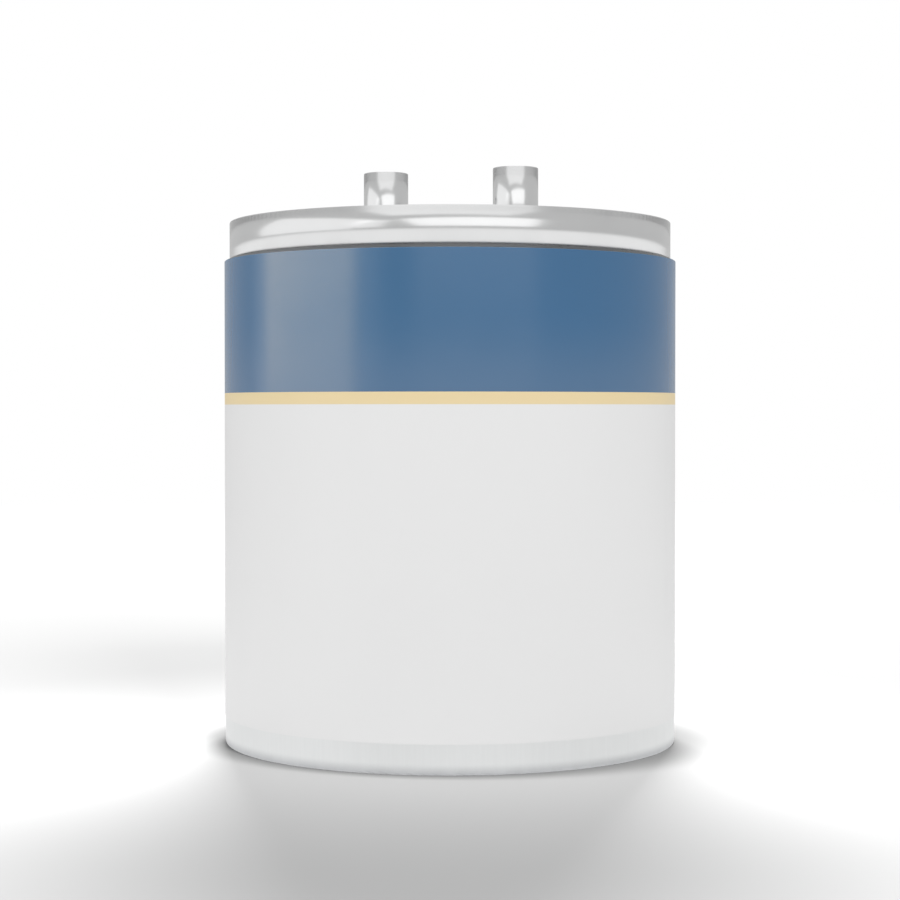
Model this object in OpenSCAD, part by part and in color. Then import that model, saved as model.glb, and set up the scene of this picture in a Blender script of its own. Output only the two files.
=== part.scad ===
// Motor run capacitor: a sealed round metal can with a printed wrap label,
// a turned metal lid sealed into its mouth, and two insulated terminal posts.
// Millimetres, +Z up the can's axis, origin at the centre of the foot.

/* [Can] */
// Outside diameter of the bare can
can_d = 63.5; // [54:0.5:80]
// Height of the can, from its foot to the edge of its mouth
can_h = 67.6; // [64:0.2:90]
// Thickness of the can's wall round the mouth
can_wall = 0.5; // [0.4:0.05:0.8]
// Radius round the foot
foot_r = 0.4; // [0.2:0.1:1]
// Radius along the outer edge of the mouth
mouth_edge_r = 0.1; // [0.05:0.05:0.15]
// Width of the flat ring that the can stands on
foot_ring_w = 4.5; // [2:0.5:8]
// Depth of the panel pressed up into the base
base_panel_depth = 0.8; // [0.4:0.1:1.5]
// Run of the slope between the foot ring and the base panel
base_panel_run = 1.2; // [0.6:0.1:2.4]
// Clearance between the sealed contents and the lid's skirt
fill_fit = 0.1; // [0.05:0.05:0.3]

/* [Label] */
// Thickness of the printed film
label_t = 0.08; // [0.05:0.01:0.3]
// Height of bare metal under the label
bare_foot_h = 4; // [2:0.5:10]
// Bare edge left between the label and the mouth of the can
bare_mouth_h = 0.1; // [0.1:0.1:2]
// Height of the stripe's lower edge above the foot
stripe_z = 47.5; // [20:0.5:58]
// Width of the stripe
stripe_w = 1.6; // [0.8:0.2:5]

/* [Lid] */
// Clearance between the lid's skirt and the can's wall, on each side
lid_fit = 0.15; // [0.1:0.05:0.3]
// Height of the lid's rim above the mouth of the can
lid_rise = 5.4; // [4.6:0.1:9]
// Depth of the lid's skirt below the mouth of the can
lid_depth = 4; // [2.5:0.5:8]
// Width of the rim
rim_w = 2.4; // [1.6:0.2:4]
// Radius along both edges of the rim
rim_edge_r = 0.15; // [0.1:0.05:0.6]
// Depth of the deck below the rim
deck_drop = 4; // [3:0.1:4.6]
// Thickness of the deck
deck_t = 1.4; // [1:0.1:2.4]
// Fillet between the deck and the inside of the rim
deck_fillet_r = 1; // [0.4:0.2:2]
// Thickness of the skirt that enters the can
skirt_t = 1; // [0.8:0.1:1.6]
// Width of the stiffening bead round the deck
bead_w = 3; // [2:0.2:4]
// Height of the stiffening bead above the deck
bead_h = 0.7; // [0.4:0.1:1]

/* [Seal] */
// Height of the sealing fillet against the lid, above the mouth of the can
seal_rise = 0.3; // [0.2:0.1:1.2]
// Reach of the sealing fillet over the edge of the can
seal_reach = 0.25; // [0.1:0.05:0.35]
// Depth of the seal between the skirt and the can's wall
seal_depth = 2; // [1:0.5:2.5]

/* [Terminals] */
// Diameter of a terminal post
post_d = 6.35; // [5.2:0.05:7]
// Height of the posts above the lid's rim
post_rise = 7.6; // [4:0.1:15]
// Distance between the centres of the two posts
post_spacing = 19.8; // [16:0.1:24]
// Chamfer round the top of a post
post_chamfer = 0.2; // [0.1:0.05:0.6]
// Diameter of a post's shank, which passes through the lid
shank_d = 4.6; // [3.6:0.1:5]
// Diameter of the shank's riveted end, where it bears on its washer
rivet_d = 7.2; // [6.4:0.1:8.4]
// Height of the riveted end
rivet_h = 1.3; // [0.8:0.1:2]
// Clearance round a shank in its insulators and washers
shank_fit = 0.05; // [0.03:0.01:0.15]
// Diameter of the washer under a post
post_washer_d = 11; // [8.4:0.2:11.6]
// Diameter of the washer over a riveted end
rivet_washer_d = 9.6; // [8.6:0.2:11.6]
// Thickness of both washers
washer_t = 0.8; // [0.5:0.1:1.2]

/* [Insulators] */
// Diameter of an upper insulator's flange
upper_flange_d = 13.6; // [12:0.2:15]
// Thickness of the upper insulator's flange
upper_flange_t = 2.2; // [1.6:0.2:3]
// Radius round the top of the upper insulator
upper_edge_r = 0.6; // [0.2:0.1:0.8]
// Diameter of a lower insulator's flange
lower_flange_d = 13; // [12:0.2:15]
// Thickness of the lower insulator's flange
lower_flange_t = 1.6; // [1.2:0.2:3]
// Diameter of the necks that line the deck's hole
neck_d = 8.4; // [7:0.2:9.4]
// Clearance round the necks
neck_fit = 0.05; // [0.03:0.01:0.2]
// Diameter of the gasket between the deck and an upper insulator
gasket_d = 12.8; // [11:0.2:14]
// Thickness of the gasket as it is clamped
gasket_t = 0.6; // [0.4:0.1:1]

/* [Hidden] */
$fn = 128;

// How far a cut runs past the face that it opens
over = 1;

can_r = can_d / 2;
can_inner_r = can_r - can_wall;
label_r = can_r + label_t;

lid_r = can_inner_r - lid_fit;
rim_z = can_h + lid_rise;
deck_z = rim_z - deck_drop;
deck_under_z = deck_z - deck_t;
skirt_z = can_h - lid_depth;
skirt_inner_r = lid_r - skirt_t;
fill_r = skirt_inner_r - fill_fit;
rim_inner_r = lid_r - rim_w;

upper_flange_z = deck_z + gasket_t;
post_washer_z = upper_flange_z + upper_flange_t;
post_z = post_washer_z + washer_t;
post_r = post_d / 2;
post_top_z = rim_z + post_rise;
lower_flange_z = deck_under_z - lower_flange_t;
rivet_washer_z = lower_flange_z - washer_t;
rivet_z = rivet_washer_z - rivet_h;
neck_meet_z = deck_z - deck_t / 2;
shank_hole_r = shank_d / 2 + shank_fit;
left = -1;
right = 1;

// A rectangle of a section through the axis, between two radii and two heights
module band(r0, r1, z0, z1) {
    translate([r0, z0]) square([r1 - r0, z1 - z0]);
}

// What rounding takes off a square corner at the origin whose solid lies below and to its left
module corner_waste(r) {
    difference() {
        translate([-r, -r]) square(r + over);
        translate([-r, -r]) circle(r);
    }
}

// What a fillet adds in a square corner at the origin whose free space lies above and to its left
module fillet_section(r) {
    difference() {
        translate([-r, 0]) square(r);
        translate([-r, r]) circle(r);
    }
}

// Stands its children at the place of one terminal
module at_terminal(side) {
    translate([side * post_spacing / 2, 0, 0]) children();
}

// ---- Can: drawn in one piece, filled and sealed ----

// The panel that is pressed up into the base, so that the can stands on a ring
module base_panel_section() {
    ring_inner_r = can_r - foot_ring_w;
    polygon([[0, -over], [ring_inner_r, -over], [ring_inner_r, 0],
             [ring_inner_r - base_panel_run, base_panel_depth], [0, base_panel_depth]]);
}

module can_section() {
    difference() {
        union() {
            band(0, can_r, 0, skirt_z);
            band(can_inner_r, can_r, 0, can_h);
            band(0, fill_r, 0, deck_under_z);
        }
        base_panel_section();
        translate([can_r, 0]) mirror([0, 1]) corner_waste(foot_r);
        translate([can_r, can_h]) corner_waste(mouth_edge_r);
    }
}

// The room that the contents leave for the underside of one terminal
module terminal_pocket() {
    translate([0, 0, lower_flange_z])
        cylinder(d = lower_flange_d + 2 * fill_fit, h = lower_flange_t + over);
    translate([0, 0, rivet_washer_z])
        cylinder(d = rivet_washer_d + 2 * fill_fit, h = washer_t + over);
    translate([0, 0, rivet_z])
        cylinder(d = rivet_d + 2 * fill_fit, h = rivet_h + over);
}

module can() {
    color("gainsboro")
    difference() {
        rotate_extrude() can_section();
        for (side = [left, right]) at_terminal(side) terminal_pocket();
    }
}

// ---- Label: one printed film, as its three fields of colour ----

module label_field(z0, z1) {
    rotate_extrude() band(can_r, label_r, z0, z1);
}

module white_label_field() {
    color("whitesmoke") label_field(bare_foot_h, stripe_z);
}

module sand_label_stripe() {
    color("burlywood") label_field(stripe_z, stripe_z + stripe_w);
}

module blue_label_field() {
    color("steelblue") label_field(stripe_z + stripe_w, can_h - bare_mouth_h);
}

// ---- Lid: turned, with a sunk deck inside a raised rim and a skirt that enters the can ----

// The stiffening bead, half way from the insulators to the rim: the top of a circle, bead_w wide
module bead_section() {
    crest_r = (post_spacing / 2 + upper_flange_d / 2 + rim_inner_r) / 2;
    crown_r = (pow(bead_w / 2, 2) + pow(bead_h, 2)) / (2 * bead_h);
    intersection() {
        translate([crest_r, deck_z + bead_h - crown_r]) circle(crown_r);
        band(crest_r - bead_w / 2, crest_r + bead_w / 2, neck_meet_z, deck_z + bead_h);
    }
}

module lid_section() {
    difference() {
        union() {
            band(0, lid_r, deck_under_z, deck_z);
            band(rim_inner_r, lid_r, deck_under_z, rim_z);
            band(skirt_inner_r, lid_r, skirt_z, deck_z);
            translate([rim_inner_r, deck_z]) fillet_section(deck_fillet_r);
            bead_section();
        }
        translate([lid_r, rim_z]) corner_waste(rim_edge_r);
        translate([rim_inner_r, rim_z]) mirror([1, 0]) corner_waste(rim_edge_r);
    }
}

module lid() {
    color("silver")
    difference() {
        rotate_extrude() lid_section();
        for (side = [left, right])
            at_terminal(side)
                translate([0, 0, deck_under_z - over])
                    cylinder(d = neck_d + 2 * neck_fit, h = deck_t + 2 * over);
    }
}

// ---- Seal: dark compound between the lid and the can, finished as a fillet on the can's edge ----

module lid_seal() {
    color("dimgray")
    rotate_extrude()
        polygon([[lid_r, can_h - seal_depth], [can_inner_r, can_h - seal_depth],
                 [can_inner_r, can_h], [can_inner_r + seal_reach, can_h],
                 [lid_r, can_h + seal_rise]]);
}

// ---- Terminal posts: turned, put down through the lid and riveted over from below ----

module post_section() {
    difference() {
        union() {
            band(0, post_r, post_z, post_top_z);
            band(0, shank_d / 2, rivet_z, post_z);
            polygon([[0, rivet_z], [shank_d / 2, rivet_z], [rivet_d / 2, rivet_washer_z],
                     [0, rivet_washer_z]]);
        }
        polygon([[post_r - post_chamfer, post_top_z], [post_r - post_chamfer, post_top_z + over],
                 [post_r + over, post_top_z + over], [post_r + over, post_top_z - post_chamfer],
                 [post_r, post_top_z - post_chamfer]]);
    }
}

module terminal_post(side) {
    color("lightgray") at_terminal(side) rotate_extrude() post_section();
}

module left_terminal_post() terminal_post(left);

module right_terminal_post() terminal_post(right);

// ---- Washers: one under each post, one over each riveted end ----

// A flat ring on a shank, between two heights
module shank_ring(outer_r, z0, z1) {
    rotate_extrude() band(shank_hole_r, outer_r, z0, z1);
}

module post_washers() {
    color("lightgray")
    for (side = [left, right])
        at_terminal(side) shank_ring(post_washer_d / 2, post_washer_z, post_z);
}

module rivet_washers() {
    color("lightgray")
    for (side = [left, right])
        at_terminal(side) shank_ring(rivet_washer_d / 2, rivet_washer_z, lower_flange_z);
}

// ---- Insulators: an upper and a lower flanged bush, whose necks meet inside the deck's hole ----

module upper_insulator_section() {
    flange_r = upper_flange_d / 2;
    difference() {
        union() {
            band(shank_hole_r, flange_r, upper_flange_z, post_washer_z);
            band(shank_hole_r, neck_d / 2, neck_meet_z, post_washer_z);
        }
        translate([flange_r, post_washer_z]) corner_waste(upper_edge_r);
    }
}

module lower_insulator_section() {
    band(shank_hole_r, lower_flange_d / 2, lower_flange_z, deck_under_z);
    band(shank_hole_r, neck_d / 2, lower_flange_z, neck_meet_z);
}

module upper_insulator(side) {
    color("saddlebrown") at_terminal(side) rotate_extrude() upper_insulator_section();
}

module lower_insulator(side) {
    color("saddlebrown") at_terminal(side) rotate_extrude() lower_insulator_section();
}

module left_upper_insulator() upper_insulator(left);

module right_upper_insulator() upper_insulator(right);

module left_lower_insulator() lower_insulator(left);

module right_lower_insulator() lower_insulator(right);

// ---- Gaskets: rubber rings clamped between the deck and the upper insulators ----

module gasket(side) {
    color("dimgray")
    at_terminal(side)
        rotate_extrude() band(neck_d / 2 + neck_fit, gasket_d / 2, deck_z, upper_flange_z);
}

module left_gasket() gasket(left);

module right_gasket() gasket(right);

can();
white_label_field();
sand_label_stripe();
blue_label_field();
lid();
lid_seal();
left_terminal_post();
right_terminal_post();
post_washers();
rivet_washers();
left_upper_insulator();
right_upper_insulator();
left_lower_insulator();
right_lower_insulator();
left_gasket();
right_gasket();
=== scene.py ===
import math

import bmesh
import bpy
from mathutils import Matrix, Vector


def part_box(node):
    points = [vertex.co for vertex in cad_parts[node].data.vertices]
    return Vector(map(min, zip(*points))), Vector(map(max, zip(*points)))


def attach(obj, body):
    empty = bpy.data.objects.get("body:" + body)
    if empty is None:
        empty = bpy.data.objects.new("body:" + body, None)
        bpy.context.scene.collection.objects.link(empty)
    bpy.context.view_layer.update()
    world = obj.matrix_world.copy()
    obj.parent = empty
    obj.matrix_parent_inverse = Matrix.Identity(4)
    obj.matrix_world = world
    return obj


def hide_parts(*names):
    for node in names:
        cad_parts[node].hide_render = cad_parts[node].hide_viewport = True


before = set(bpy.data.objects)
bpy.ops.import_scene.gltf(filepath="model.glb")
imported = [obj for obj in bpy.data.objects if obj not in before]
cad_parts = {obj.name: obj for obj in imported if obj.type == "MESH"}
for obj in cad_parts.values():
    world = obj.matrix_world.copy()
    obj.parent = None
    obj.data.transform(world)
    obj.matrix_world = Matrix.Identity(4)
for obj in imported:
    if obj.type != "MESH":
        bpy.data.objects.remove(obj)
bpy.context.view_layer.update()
mm = 0.001

# ---- Can ----
# Drawn in one piece from aluminium sheet, then filled and closed with its seal. It is bare at the foot,
# which shows the upright lines of the draw, is rougher near the bottom and is painted darker there as
# painted shade. In a hair's breadth at the mouth, a bluish band is a painted highlight along the label's
# top edge, and a dark band above it is painted shade at the lid's foot.


class Wire:
    """A value in a material's nodes. Sums and products of wires add the nodes that work them out."""

    def __init__(self, tree, socket=None):
        self.tree = tree
        self.socket = socket

    def node(self, kind, settings=None, inputs=None, out=0):
        """Adds a node of a type, with its settings first, then the values or wires of its sockets."""
        made = self.tree.nodes.new("ShaderNode" + kind)
        for setting, value in (settings or {}).items():
            setattr(made, setting, value)
        for socket, value in (inputs or {}).items():
            if isinstance(value, Wire):
                self.tree.links.new(value.socket, made.inputs[socket])
            else:
                made.inputs[socket].default_value = value
        return Wire(self.tree, made.outputs[out])

    def maths(self, operation, *values):
        return self.node("Math", {"operation": operation}, dict(enumerate(values)))

    def __add__(self, other):
        return self.maths("ADD", self, other)

    def __sub__(self, other):
        return self.maths("SUBTRACT", self, other)

    def __rsub__(self, other):
        return self.maths("SUBTRACT", other, self)

    def __mul__(self, other):
        return self.maths("MULTIPLY", self, other)

    def __truediv__(self, other):
        return self.maths("DIVIDE", self, other)

    __radd__ = __add__
    __rmul__ = __mul__

    def step(self, low, high):
        """Rises smoothly from 0 where this wire is at low to 1 where it is at high."""
        return self.node("MapRange", {"interpolation_type": "SMOOTHSTEP"}, {0: self, 1: low, 2: high})

    def between(self, first, second):
        """The colour first where this wire is 0, and second where it is 1."""
        mixed = {0: self}
        for socket, colour in ((6, first), (7, second)):
            mixed[socket] = colour if isinstance(colour, Wire) else (*colour, 1)
        return self.node("Mix", {"data_type": "RGBA"}, mixed, out=2)

    def vector(self, operation, other, out=0):
        return self.node("VectorMath", {"operation": operation}, {0: self, 1: other}, out)

    def length(self):
        return self.node("VectorMath", {"operation": "LENGTH"}, {0: self}, "Value")

    def part(self, axis):
        """One coordinate of this vector."""
        return self.node("SeparateXYZ", None, {0: self}, axis)

    def grain(self, scale, detail=2.0):
        """Noise over this vector, about 0.5, with scale bumps in a metre."""
        return self.node("TexNoise", None, {"Vector": self, "Scale": scale, "Detail": detail})

    def feeds(self, shader, socket):
        self.tree.links.new(self.socket, shader.inputs[socket])

    def roughens(self, shader, depth, strength):
        """Raises the surface where this wire is high."""
        bump = self.node("Bump", None, {"Strength": strength, "Distance": depth, "Height": self})
        bump.feeds(shader, "Normal")


def new_finish(name, steady):
    """A material, its shader with the inputs that are the same all over, and the place in the piece."""
    material = bpy.data.materials.new(name)
    material.use_nodes = True
    shader = material.node_tree.nodes["Principled BSDF"]
    for socket, value in steady.items():
        shader.inputs[socket].default_value = value
    return material, shader, Wire(material.node_tree).node("TexCoord", out="Object")


can_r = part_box("can")[1].x
mouth_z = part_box("can")[1].z
foot_shade_h = 1.6 * mm
highlight_low_z, highlight_high_z = mouth_z - 0.12 * mm, mouth_z - 0.06 * mm
mouth_shade_low_z, mouth_shade_high_z = mouth_z - 0.05 * mm, mouth_z - 0.01 * mm
draw_stretch = 0.04
draw_depth = 0.05 * mm
mouth_highlight_tint = (0.22, 0.29, 0.36)
seal_shade_dark = (0.05, 0.055, 0.06)

drawn_metal, shader, place = new_finish("drawn can metal", {"Metallic": 1.0})
height = place.part("Z")
draw_lines = place.vector("MULTIPLY", (1, 1, draw_stretch)).grain(2600, detail=3.0)
scuffs = place.grain(420, detail=4.0)
# Painted shade: the bare foot is painted darker towards its bottom edge, and is rougher there too.
foot_shade_and_dull = 1 - height.step(0, foot_shade_h)
# Painted highlight: a bluish band at the very mouth, for the light along the label's top edge.
mouth_highlight = height.step(highlight_low_z, highlight_high_z)
# Painted shade: a dark band at the top of the mouth, part of the dark line of shade at the lid's foot.
mouth_shade = height.step(mouth_shade_low_z, mouth_shade_high_z)
bright = draw_lines.between((0.73, 0.74, 0.74), (0.77, 0.78, 0.78))
foot = foot_shade_and_dull.between(bright, scuffs.between((0.44, 0.45, 0.46), (0.60, 0.61, 0.62)))
mouth_edge = mouth_highlight.between(foot, mouth_highlight_tint)
mouth_shade.between(mouth_edge, seal_shade_dark).feeds(shader, "Base Color")
(0.30 + 0.12 * scuffs + 0.15 * foot_shade_and_dull).feeds(shader, "Roughness")
draw_lines.roughens(shader, draw_depth, strength=0.04)
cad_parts["can"].material_slots[0].material = drawn_metal

# ---- Label ----
# One printed film, wrapped once round the can with its ends butted behind, leaving a hair of bare
# metal between them. Most of it is white, and a sand stripe parts that from the glossier blue field.

label_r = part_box("white_label_field")[1].y
seam_gap = 0.25 * mm
seam_turn = math.radians(100)
film_steps = 240
blue_lit_z, blue_unlit_z = 48.5 * mm, 60 * mm
drift_stretch = 0.5
tooth_depth = 0.03 * mm


def fit_piece(name, shape, normals, material, nodes, at=(0, 0)):
    """Makes a piece of a shape, shaded with the normals that its making gave, and sets it on the part."""
    mesh = bpy.data.meshes.new(name)
    shape.to_mesh(mesh)
    shape.free()
    mesh.shade_smooth()
    mesh.normals_split_custom_set_from_vertices(normals)
    mesh.materials.append(material)
    piece = bpy.data.objects.new(name, mesh)
    piece.location = (*at, 0)
    bpy.context.collection.objects.link(piece)
    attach(piece, "root")
    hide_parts(*nodes)


def film(name, node, ink):
    """A band of the film, from its seam all the way round to its seam again."""
    low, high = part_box(node)[0].z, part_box(node)[1].z
    section = [(can_r, low, 180), (label_r, low, 0), (label_r, high, 0), (can_r, high, 180)]
    opening = seam_gap / label_r
    shape = bmesh.new()
    rings, normals = [], []
    for step in range(film_steps + 1):
        turn = seam_turn + opening / 2 + (2 * math.pi - opening) * step / film_steps
        out = Vector((math.cos(turn), math.sin(turn), 0))
        rings.append([shape.verts.new(out * radius + Vector((0, 0, z))) for radius, z, _ in section])
        normals += [out * math.cos(math.radians(tilt)) for _, _, tilt in section]
    for ring, following in zip(rings, rings[1:]):
        for side in range(len(section)):
            ahead = (side + 1) % len(section)
            shape.faces.new((ring[side], following[side], following[ahead], ring[ahead]))
    shape.faces.new(rings[0])
    shape.faces.new(rings[-1][::-1])
    fit_piece(name, shape, normals, ink, [node])


def print_ink(name, steady, even, deep, sheen, table_light=None):
    """Ink on film: its colour drifts a little over the field, its gloss over the peel of the film, and it
    has a fine tooth. Ink given table light is painted paler lower down, as painted light from the white
    table: the palest colour and the height where it is palest, then the height where that light ends."""
    material, shader, place = new_finish(name, steady)
    drift = place.vector("MULTIPLY", (1, 1, drift_stretch)).grain(45, detail=3.0).step(0.3, 0.7)
    colour = drift.between(even, deep)
    # Painted light: the ink is painted paler lower down, where the white table's light falls on it.
    if table_light:
        lit_colour, lit_z, unlit_z = table_light
        colour = place.part("Z").step(lit_z, unlit_z).between(lit_colour, colour)
    colour.feeds(shader, "Base Color")
    peel = place.grain(160, detail=3.0)
    (sheen + 0.10 * peel).feeds(shader, "Roughness")
    tooth = place.grain(950)
    tooth.roughens(shader, tooth_depth, strength=0.05)
    return material


white_ink = print_ink(
    "white print", {"IOR": 1.35}, even=(0.765, 0.765, 0.765), deep=(0.755, 0.755, 0.755), sheen=0.45,
)
sand_ink = print_ink(
    "sand print", {"IOR": 1.35}, even=(0.79, 0.645, 0.385), deep=(0.77, 0.63, 0.37), sheen=0.40,
)
# The blue is painted paler towards the sand stripe, as painted light from the white table.
blue_ink = print_ink(
    "blue print", {"IOR": 1.85}, even=(0.014, 0.109, 0.25), deep=(0.010, 0.104, 0.24), sheen=0.17,
    table_light=((0.05, 0.135, 0.262), blue_lit_z, blue_unlit_z),
)
film("white_field", "white_label_field", white_ink)
film("sand_stripe", "sand_label_stripe", sand_ink)
film("blue_field", "blue_label_field", blue_ink)

# ---- Lid ----
# Turned from thick aluminium: a deck sunk inside a raised rim, with a stiffening bead round it, two
# holes for the terminals, and a skirt that enters the can. Polishing has rolled its outer wall over
# towards both edges, which spreads the table and the lamps over it.

skirt_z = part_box("lid")[0].z
rim_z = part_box("lid")[1].z
lid_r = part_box("lid")[1].x
deck_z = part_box("left_gasket")[0].z
deck_under_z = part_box("can")[1].z
post_x = (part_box("right_gasket")[0].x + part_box("right_gasket")[1].x) / 2
upper_flange_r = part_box("right_upper_insulator")[1].x - post_x
skirt_t = 1.0 * mm
rim_w = 2.4 * mm
skirt_inner_r = lid_r - skirt_t
rim_inner_r = lid_r - rim_w
skirt_fillet_r = 0.2 * mm
skirt_edge_r = 0.1 * mm
rim_edge_r = 0.15 * mm
deck_fillet_r = 1.0 * mm
bead_w = 3.0 * mm
bead_h = 0.7 * mm
bead_root_w = 0.1 * mm
bead_r = (post_x + upper_flange_r + rim_inner_r) / 2
bead_steps = 8
neck_hole_r = 4.25 * mm
hole_steps = 64
flat_r = 18.5 * mm
lathe_steps = 192
edge_w = 0.3 * mm
least_lean, most_lean = -24.5, 38
upright_share = 0.47
lid_wall = (mouth_z, mouth_z + upright_share * (rim_z - mouth_z), rim_z)
mark_depth = 0.004 * mm
hair = 0.001 * mm


def rounded(corners, steps=4):
    """A section's outline, as (radius, height, tilt of its normal), from (radius, height, edge radius)
    corners that go round with the solid on their left."""
    outline = []
    for index, (radius, z, edge_r) in enumerate(corners):
        corner = Vector((radius, z))
        before = (corner - Vector(corners[index - 1][:2])).normalized()
        after = (Vector(corners[(index + 1) % len(corners)][:2]) - corner).normalized()
        tilt = math.degrees(math.atan2(-before.x, before.y))
        turn = math.degrees(math.atan2(before.x * after.y - before.y * after.x, before.dot(after)))
        if edge_r == 0:
            outline.append((radius, z, tilt + turn / 2))
            continue
        side = math.copysign(edge_r, turn)
        start = corner - before * edge_r * math.tan(math.radians(abs(turn) / 2))
        centre = start + Vector((-before.y, before.x)) * side
        for step in range(steps + 1):
            now = tilt + turn * step / steps
            arm = Vector((math.cos(math.radians(now)), math.sin(math.radians(now)))) * side
            outline.append((centre.x + arm.x, centre.y + arm.y, now))
    return outline


def lean_at(z, wall):
    """The tilt of a polished wall's normals at a height. They lean down below its upright height, and up
    above it."""
    foot_z, upright_z, top_z = wall
    tilt = math.degrees(math.atan((z - upright_z) / (top_z - foot_z) * 2))
    return min(max(tilt, least_lean), most_lean)


def lean_ends(wall):
    """The heights between which the tilt of a polished wall's normals changes."""
    foot_z, upright_z, top_z = wall
    return [upright_z + (top_z - foot_z) / 2 * math.tan(math.radians(t)) for t in (least_lean, most_lean)]


def leaned(outline, wall_r, wall):
    """Leans the normals of an outer wall and starts the flat top just inside its edge."""
    foot_z, _, top_z = wall
    lean, flat_from = [], 0
    for radius, z, tilt in outline:
        if radius > wall_r - edge_w and z > foot_z - 10 * hair:
            tilt = lean_at(z, wall)
            flat_from = len(lean) + 1
        lean.append((radius, z, tilt))
    lean.insert(flat_from, (wall_r - edge_w, top_z, 90))
    return lean


def turned(shape, outline, closed=True, centre=(0, 0)):
    """Turns an outline round an upright axis, ring by ring, and gives the normals of its points."""
    axis = Vector((*centre, 0))
    rings, normals = [], []
    for radius, z, tilt in outline:
        level, upright = math.cos(math.radians(tilt)), math.sin(math.radians(tilt))
        if radius < hair:
            rings.append([shape.verts.new(axis + Vector((0, 0, z)))] * lathe_steps)
            normals.append(Vector((0, 0, math.copysign(1, upright))))
            continue
        rings.append([])
        for step in range(lathe_steps):
            turn = 2 * math.pi * step / lathe_steps
            out = Vector((math.cos(turn), math.sin(turn), 0))
            rings[-1].append(shape.verts.new(axis + out * radius + Vector((0, 0, z))))
            normals.append(out * level + Vector((0, 0, upright)))
    pairs = list(zip(rings, rings[1:])) + ([(rings[-1], rings[0])] if closed else [])
    for ring, following in pairs:
        for step in range(lathe_steps):
            ahead = (step + 1) % lathe_steps
            around = (ring[step], ring[ahead], following[ahead], following[step])
            corners = list(dict.fromkeys(around))
            if len(corners) > 2:
                shape.faces.new(corners)
    return normals


def turned_metal(name, pale, deep, gloss, mark_w):
    """Metal off the lathe, then polished: fine marks run round it, and handling has left faint smears."""
    material, shader, place = new_finish(name, {"Metallic": 1.0})
    radius = place.vector("MULTIPLY", (1, 1, 0)).length()
    round_it = place.node("CombineXYZ", None, {0: radius, 1: place.part("Z")})
    marks = round_it.grain(1 / mark_w, detail=3.0)
    smears = place.grain(130, detail=3.0).step(0.35, 0.75)
    smears.between(pale, deep).feeds(shader, "Base Color")
    (gloss + 0.05 * marks + 0.04 * smears).feeds(shader, "Roughness")
    marks.roughens(shader, mark_depth, strength=0.1)
    return material


lid_metal = turned_metal(
    "turned lid metal", pale=(0.775, 0.778, 0.78), deep=(0.755, 0.758, 0.76), gloss=0.16, mark_w=0.12 * mm,
)

lid_corners = [
    (flat_r, deck_under_z, 0), (skirt_inner_r, deck_under_z, skirt_fillet_r),
    (skirt_inner_r, skirt_z, skirt_edge_r), (lid_r, skirt_z, skirt_edge_r), (lid_r, mouth_z, 0),
    *((lid_r, z, 0) for z in lean_ends(lid_wall)), (lid_r, rim_z, rim_edge_r),
    (rim_inner_r, rim_z, rim_edge_r), (rim_inner_r, deck_z, deck_fillet_r),
    (bead_r + bead_w / 2, deck_z, 0),
]
wall_outline = leaned(rounded(lid_corners), lid_r, lid_wall)[1:-1]
crown_r = (bead_w ** 2 / 4 + bead_h ** 2) / (2 * bead_h)
crown_turn = math.asin(bead_w / 2 / crown_r)
deck_edge = bead_w / 2 + bead_root_w
bead_outline = [(bead_r + deck_edge, deck_z, 90)]
for step in range(bead_steps + 1):
    turn = crown_turn * (1 - 2 * step / bead_steps)
    crown_z = deck_z + bead_h - crown_r * (1 - math.cos(turn))
    bead_outline.append((bead_r + crown_r * math.sin(turn), crown_z, 90 - math.degrees(turn)))
bead_outline.append((bead_r - deck_edge, deck_z, 90))
lid_outline = [(flat_r, deck_under_z, -90)] + wall_outline + bead_outline + [(flat_r, deck_z, 90)]

shape = bmesh.new()
normals = turned(shape, lid_outline, closed=False)
points = list(shape.verts)
loops = {-1: [points[:lathe_steps]], 1: [points[-lathe_steps:]]}
for side in (-1, 1):
    rims = {}
    for face, z in ((-1, deck_under_z), (1, deck_z)):
        rims[face] = []
        for step in range(hole_steps):
            turn = 2 * math.pi * step / hole_steps
            hole = (side * post_x + neck_hole_r * math.cos(turn), neck_hole_r * math.sin(turn), z)
            rims[face].append(shape.verts.new(hole))
            normals.append(Vector((0, 0, face)))
        loops[face].append(rims[face])
    for step in range(hole_steps):
        ahead = (step + 1) % hole_steps
        shape.faces.new((rims[-1][step], rims[1][step], rims[1][ahead], rims[-1][ahead]))
for face in (-1, 1):
    edges = []
    for loop in loops[face]:
        for vert, following in zip(loop, loop[1:] + loop[:1]):
            edge = shape.edges.get((vert, following))
            edges.append(edge or shape.edges.new((vert, following)))
    bmesh.ops.triangle_fill(shape, edges=edges, use_beauty=True, normal=(0, 0, face))
fit_piece("turned_lid", shape, normals, lid_metal, ["lid"])

# ---- Seal ----
# A seal run into the gap between the lid's skirt and the can, and drawn down to a hollow fillet
# on the edge of the can. Its near-black colour is painted shade, for the dark line of shade at the
# lid's foot. It has cured to a soft shine.

can_wall_t = 0.5 * mm
hollow_out, hollow_up = 0.10 * mm, 0.07 * mm
fillet_steps = 8
lump_depth = 0.05 * mm
seal_low_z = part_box("lid_seal")[0].z
seal_top_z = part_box("lid_seal")[1].z
seal_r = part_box("lid_seal")[1].x
can_inner_r = can_r - can_wall_t

compound_painted_shade, shader, place = new_finish("sealing compound", {"IOR": 1.9})
lumps = place.grain(350, detail=3.0)
# Painted shade: the seal's near-black colour draws the dark line of shade at the lid's foot.
lumps.between(seal_shade_dark, (0.075, 0.08, 0.09)).feeds(shader, "Base Color")
(0.22 + 0.15 * lumps).feeds(shader, "Roughness")
lumps.roughens(shader, lump_depth, strength=0.15)

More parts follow.
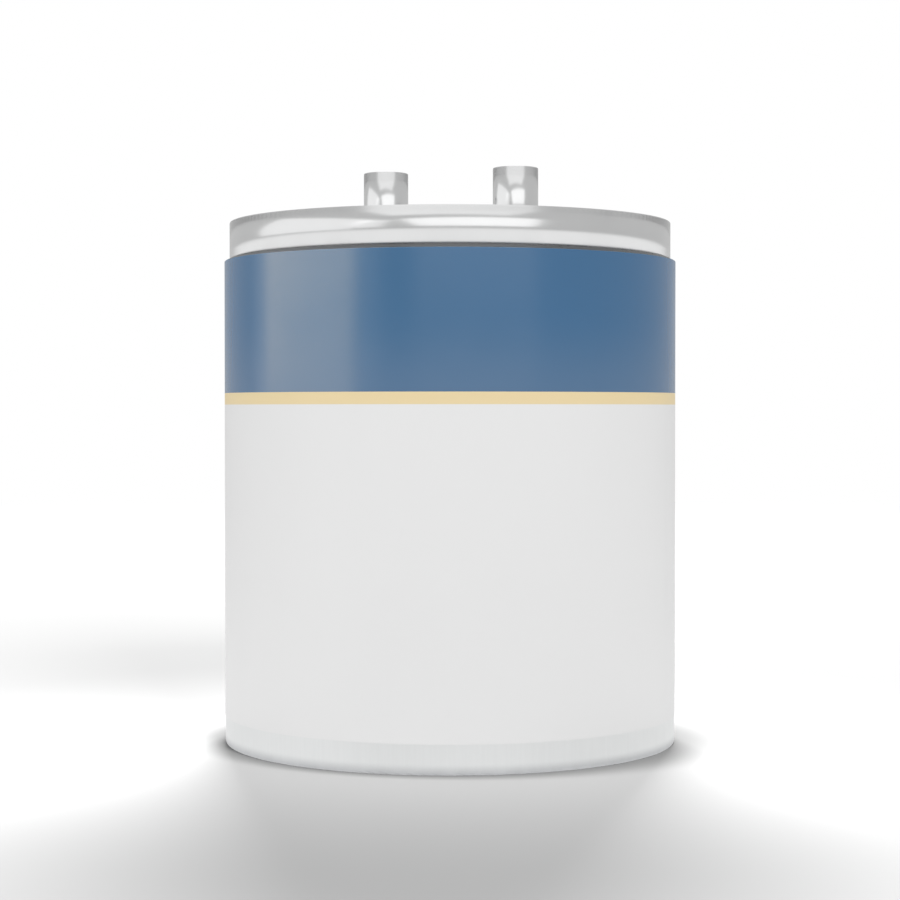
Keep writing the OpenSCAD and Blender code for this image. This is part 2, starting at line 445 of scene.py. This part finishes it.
seal_outline = [(lid_r, seal_low_z, -135), (can_inner_r, seal_low_z, -45), (can_inner_r, mouth_z, -20)]
hollow = Vector((lid_r + hollow_out, mouth_z + hollow_up))
foot_edge, top_edge = Vector((seal_r, mouth_z)), Vector((lid_r, seal_top_z))
for step in range(fillet_steps + 1):
    t = step / fillet_steps
    spot = foot_edge * (1 - t) ** 2 + hollow * 2 * t * (1 - t) + top_edge * t ** 2
    along = (hollow - foot_edge) * (1 - t) + (top_edge - hollow) * t
    seal_outline.append((spot.x, spot.y, math.degrees(math.atan2(-along.x, along.y))))
shape = bmesh.new()
normals = turned(shape, seal_outline)
fit_piece("sealing_fillet", shape, normals, compound_painted_shade, ["lid_seal"])

# ---- Insulators ----
# Four flanged bushes, moulded from brown phenolic powder, which shows as a fine mottle. Their necks
# meet inside the deck's holes. The lower two are hidden in the can.

bush_bore_r = 2.35 * mm
neck_r = 4.2 * mm
mould_edge_r = 0.1 * mm
flange_foot_r = 0.15 * mm
flange_top_r = 0.6 * mm
upper_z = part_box("left_gasket")[1].z
post_washer_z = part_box("left_upper_insulator")[1].z
neck_meet_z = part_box("left_upper_insulator")[0].z
skin_depth = 0.03 * mm

moulded, shader, place = new_finish("moulded phenolic", {"IOR": 1.6})
mottle = place.grain(1400, detail=4.0).step(0.35, 0.7)
mottle.between((0.048, 0.024, 0.014), (0.066, 0.033, 0.019)).feeds(shader, "Base Color")
haze = place.grain(500)
(0.30 + 0.12 * haze).feeds(shader, "Roughness")
skin = place.grain(700, detail=3.0)
skin.roughens(shader, skin_depth, strength=0.1)

upper_corners = [
    (bush_bore_r, neck_meet_z, mould_edge_r), (neck_r, neck_meet_z, mould_edge_r),
    (neck_r, upper_z, mould_edge_r), (upper_flange_r, upper_z, flange_foot_r),
    (upper_flange_r, post_washer_z, flange_top_r), (bush_bore_r, post_washer_z, mould_edge_r),
]
for side, x in (("left", -post_x), ("right", post_x)):
    shape = bmesh.new()
    normals = turned(shape, rounded(upper_corners))
    node = side + "_upper_insulator"
    fit_piece(side + "_upper_bush", shape, normals, moulded, [node], (x, 0))
    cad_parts[side + "_lower_insulator"].material_slots[0].material = moulded

# ---- Gaskets ----
# Two rings cut from black rubber sheet, clamped between the deck and the upper insulators so that
# their edges bulge.

gasket_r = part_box("right_gasket")[1].x - post_x
cut_edge_r = 0.1 * mm
bulge_r = 0.25 * mm
bloom_depth = 0.04 * mm

sheet_rubber, shader, place = new_finish("gasket rubber", {"IOR": 1.5})
bloom = place.grain(600, detail=4.0)
bloom.between((0.022, 0.022, 0.023), (0.04, 0.04, 0.041)).feeds(shader, "Base Color")
(0.55 + 0.3 * bloom).feeds(shader, "Roughness")
bloom.roughens(shader, bloom_depth, strength=0.2)

gasket_corners = [
    (neck_hole_r, deck_z, cut_edge_r), (gasket_r, deck_z, bulge_r), (gasket_r, upper_z, bulge_r),
    (neck_hole_r, upper_z, cut_edge_r),
]
for side, x in (("left", -post_x), ("right", post_x)):
    shape = bmesh.new()
    normals = turned(shape, rounded(gasket_corners))
    node = side + "_gasket"
    fit_piece(side + "_rubber_ring", shape, normals, sheet_rubber, [node], (x, 0))

# ---- Washers ----
# Stamped steel rings with a dull plating: one under each post, and one under each riveted end, hidden
# in the can. Stamping has drawn their edges round.

washer_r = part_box("post_washers")[1].x - post_x
post_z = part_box("post_washers")[1].z
sheared_edge_r = 0.1 * mm
drawn_edge_r = 0.2 * mm
spangle_depth = 0.02 * mm

plated, shader, place = new_finish("plated washer steel", {"Metallic": 1.0})
spangle = place.grain(900, detail=3.0)
spangle.between((0.50, 0.50, 0.49), (0.66, 0.66, 0.65)).feeds(shader, "Base Color")
(0.26 + 0.2 * spangle).feeds(shader, "Roughness")
spangle.roughens(shader, spangle_depth, strength=0.1)

washer_corners = [
    (bush_bore_r, post_washer_z, sheared_edge_r), (washer_r, post_washer_z, sheared_edge_r),
    (washer_r, post_z, drawn_edge_r), (bush_bore_r, post_z, sheared_edge_r),
]
shape = bmesh.new()
normals = []
for x in (-post_x, post_x):
    normals += turned(shape, rounded(washer_corners), centre=(x, 0))
fit_piece("stamped_washers", shape, normals, plated, ["post_washers"])
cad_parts["rivet_washers"].material_slots[0].material = plated

# ---- Terminal posts ----
# Plain round posts, turned from aluminium bar and polished like the lid. Each has a thinner shank,
# which passes down through its insulators and is riveted over under the lid.

rivet_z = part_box("left_terminal_post")[0].z
post_top_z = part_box("left_terminal_post")[1].z
rivet_washer_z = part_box("rivet_washers")[0].z
rivet_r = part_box("right_terminal_post")[1].x - post_x
shank_r = 2.3 * mm
post_r = 3.175 * mm
chamfer = 0.1 * mm
broken_edge_r = 0.1 * mm
crisp_edge_r = 0.05 * mm
post_wall = (upper_z, (upper_z + post_top_z) / 2, post_top_z)

post_metal = turned_metal(
    "turned post metal", pale=(0.785, 0.788, 0.79), deep=(0.765, 0.768, 0.77), gloss=0.17, mark_w=0.1 * mm,
)
post_corners = [
    (0, rivet_z, 0), (shank_r, rivet_z, broken_edge_r), (rivet_r, rivet_washer_z, broken_edge_r),
    (shank_r, rivet_washer_z, crisp_edge_r), (shank_r, post_z, crisp_edge_r),
    (post_r, post_z, broken_edge_r), *((post_r, z, 0) for z in lean_ends(post_wall)),
    (post_r, post_top_z - chamfer, crisp_edge_r), (post_r - chamfer, post_top_z, crisp_edge_r),
    (0, post_top_z, 0),
]
post_outline = leaned(rounded(post_corners), post_r, post_wall)
post_outline[0] = (0, rivet_z, -90)
post_outline[-1] = (0, post_top_z, 90)
for side, x in (("left", -post_x), ("right", post_x)):
    shape = bmesh.new()
    normals = turned(shape, post_outline, closed=False)
    node = side + "_terminal_post"
    fit_piece(side + "_post", shape, normals, post_metal, [node], (x, 0))

# ---- Table and tent ----
# A wide table under a dim grey tent. The camera sees its paint, which is painted paler near the can
# as painted light from the can and darkens outwards, has a painted contact shadow in a ring round the
# foot that is wider at the sides, and goes to white far off. Polish sees a glowing white sheet there
# instead, and the light that the table throws back is half from each.

view_turn = math.radians(22.06)
table_r = 1.1
inner_ring_r = table_r / 4
near_r, far_r = 15 * mm, 105 * mm
fade_r, white_r = 0.25, 0.8
shade_under, shade_w = 0.5 * mm, 4.0 * mm
both_sides_w, right_side_w = 5.0 * mm, 3.0 * mm
wander = 10 * mm
thrown_share = 0.5
tent_r = 3.0
arch_steps = 24
arch_turn = 100
arch_sunk = 10

table_top = bpy.data.materials.new("pale table")
table_top.use_nodes = True
nodes = table_top.node_tree.nodes
paint = nodes["Principled BSDF"]
paint.inputs["Roughness"].default_value = 0.9
paint.inputs["Specular IOR Level"].default_value = 0.0
place = Wire(table_top.node_tree).node("TexCoord", out="Object")
radius = place.length()
# Painted light: the paint is paler near the can, where the can throws its light, and darker further out.
away = (radius + wander * place.grain(3, detail=3.0)).step(near_r, far_r)
open_paint = away.between((0.635, 0.635, 0.635), (0.415, 0.415, 0.415))
to_the_right = (math.cos(view_turn), math.sin(view_turn), 0)
lean = place.vector("DOT_PRODUCT", to_the_right, "Value") / radius
# Painted shadow: a dark ring of contact shadow round the can's foot, wider at the sides and to the right.
shade_edge = can_r + shade_w + (both_sides_w * lean + right_side_w) * lean
shaded = radius.step(can_r - shade_under, shade_edge)
shaded.between((0.31, 0.31, 0.31), open_paint).feeds(paint, "Base Color")
far_off = radius.step(fade_r, white_r)
seen = place.node("LightPath", out="Is Camera Ray")
mirrored = place.node("LightPath", out="Is Glossy Ray")
passed = place.node("LightPath", out="Is Transmission Ray")
thrown_back = place.node("LightPath", out="Is Diffuse Ray")
sheet_share = mirrored + passed + thrown_share * thrown_back
backdrop = place.node("Emission", None, {0: (1, 1, 1, 1), 1: 1.0})
sheet = place.node("Emission", None, {0: far_off.between((1, 1, 1), (0.58, 0.58, 0.58)), 1: 1.0})
lit = Wire(table_top.node_tree, paint.outputs[0])
lit = place.node("MixShader", None, {0: seen * far_off, 1: lit, 2: backdrop})
lit = place.node("MixShader", None, {0: sheet_share, 1: lit, 2: sheet})
lit.feeds(nodes["Material Output"], "Surface")


def staging(name, outline, material):
    """Turns a piece of the staging and stands it round the part."""
    shape = bmesh.new()
    turned(shape, outline, closed=False)
    mesh = bpy.data.meshes.new(name)
    shape.to_mesh(mesh)
    shape.free()
    mesh.materials.append(material)
    piece = bpy.data.objects.new(name, mesh)
    bpy.context.collection.objects.link(piece)
    return piece


table = staging("table", [(0, 0, 90), (inner_ring_r, 0, 90), (table_r, 0, 90)], table_top)

scrim = bpy.data.materials.new("grey scrim")
scrim.use_nodes = True
glow = Wire(scrim.node_tree).node("Emission", None, {0: (1, 1, 1, 1), 1: 0.60})
glow.feeds(scrim.node_tree.nodes["Material Output"], "Surface")
arch = []
for step in range(arch_steps + 1):
    rise = math.radians(arch_turn * step / arch_steps - arch_sunk)
    arch.append((tent_r * math.cos(rise), tent_r * math.sin(rise), 0))
tent = staging("tent", arch, scrim)
tent.visible_camera = False

world = bpy.data.worlds.new("white background")
world.use_nodes = True
bpy.context.scene.world = world
world.node_tree.nodes["Background"].inputs["Color"].default_value = (1, 1, 1, 1)

# ---- Lamps ----
# Soft boxes inside the tent. Four boxes and two fills, which polish doesn't show, light the object and
# are flagged off from the table. Two floor lamps light the table alone: the one behind throws the
# shadow forwards. The last box shows only in the gloss of the blue field, as its streak.

aim_share = 0.6
aim = Vector((0, 0, mouth_z * aim_share))


def soft_box(name, across, up, half_across, half_up, level, thing, link="INCLUDE", far=1.2):
    """A soft box, by the angles at which the object sees it, measured from the camera's side. It lights
    one thing alone, or is flagged off from that thing."""
    turn, rise = view_turn + math.radians(across), math.radians(up)
    out = Vector((math.sin(turn) * math.cos(rise), -math.cos(turn) * math.cos(rise), math.sin(rise)))
    lamp = bpy.data.lights.new(name, "AREA")
    lamp.shape = "RECTANGLE"
    lamp.size = 2 * far * math.tan(math.radians(half_across))
    lamp.size_y = 2 * far * math.tan(math.radians(half_up))
    lamp.energy = math.pi * level * lamp.size * lamp.size_y
    holder = bpy.data.objects.new(name, lamp)
    holder.location = aim + out * far
    holder.rotation_euler = (-out).to_track_quat("-Z", "Y").to_euler()
    holder.visible_camera = False
    bpy.context.collection.objects.link(holder)
    flagged = bpy.data.collections.new(name + " flags")
    flagged.objects.link(thing)
    flagged.collection_objects[0].light_linking.link_state = link
    holder.light_linking.receiver_collection = flagged
    return holder


for name, across, up, half_across, half_up, level in (
    ("left box", -81.5, 20, 32.5, 26, 0.44),
    ("left strip", -41.5, 19, 7.5, 17, 0.42),
    ("front box", 13, 27.5, 31, 22, 0.66),
    ("overhead box", 0, 80, 24, 18, 0.42),
):
    soft_box(name, across, up, half_across, half_up, level, table, "EXCLUDE")
for name, across, up, half_across, half_up, level in (
    ("front fill", 10, 24, 42, 10, 1.10),
    ("back fill", 166, 24, 50, 10, 1.0),
):
    fill = soft_box(name, across, up, half_across, half_up, level, table, "EXCLUDE")
    fill.visible_glossy = False
soft_box(
    "back floor lamp", across=178.2, up=34, half_across=11, half_up=10, level=55.5, thing=table, far=2.4,
)
soft_box("front floor lamp", across=23, up=30, half_across=9, half_up=9, level=29.5, thing=table)
streak = soft_box(
    "streak box", across=-75.5, up=17, half_across=29, half_up=15.5, level=1.65,
    thing=bpy.data.objects["blue_field"],
)
streak.data.color = (1.0, 0.82, 0.5)
streak.visible_diffuse = False

# ---- Camera ----
# A long lens a foot away, a little lower than the label's stripe and tilted down by a degree. The rim is
# above it, and hides the deck and all of the terminals but the upper ends of their posts.

camera_far = 306.1 * mm
camera_z = 46.82 * mm
camera_tilt = math.radians(1.078)
focal_length = 86.18
film_w = 36

lens = bpy.data.cameras.new("camera")
lens.lens = focal_length
lens.sensor_width = film_w
lens.clip_start = 0.01
camera = bpy.data.objects.new("camera", lens)
camera.location = (math.sin(view_turn) * camera_far, -math.cos(view_turn) * camera_far, camera_z)
camera.rotation_euler = (math.pi / 2 - camera_tilt, 0, view_turn)
bpy.context.collection.objects.link(camera)
bpy.context.scene.camera = camera
bpy.context.scene.view_settings.view_transform = "Standard"
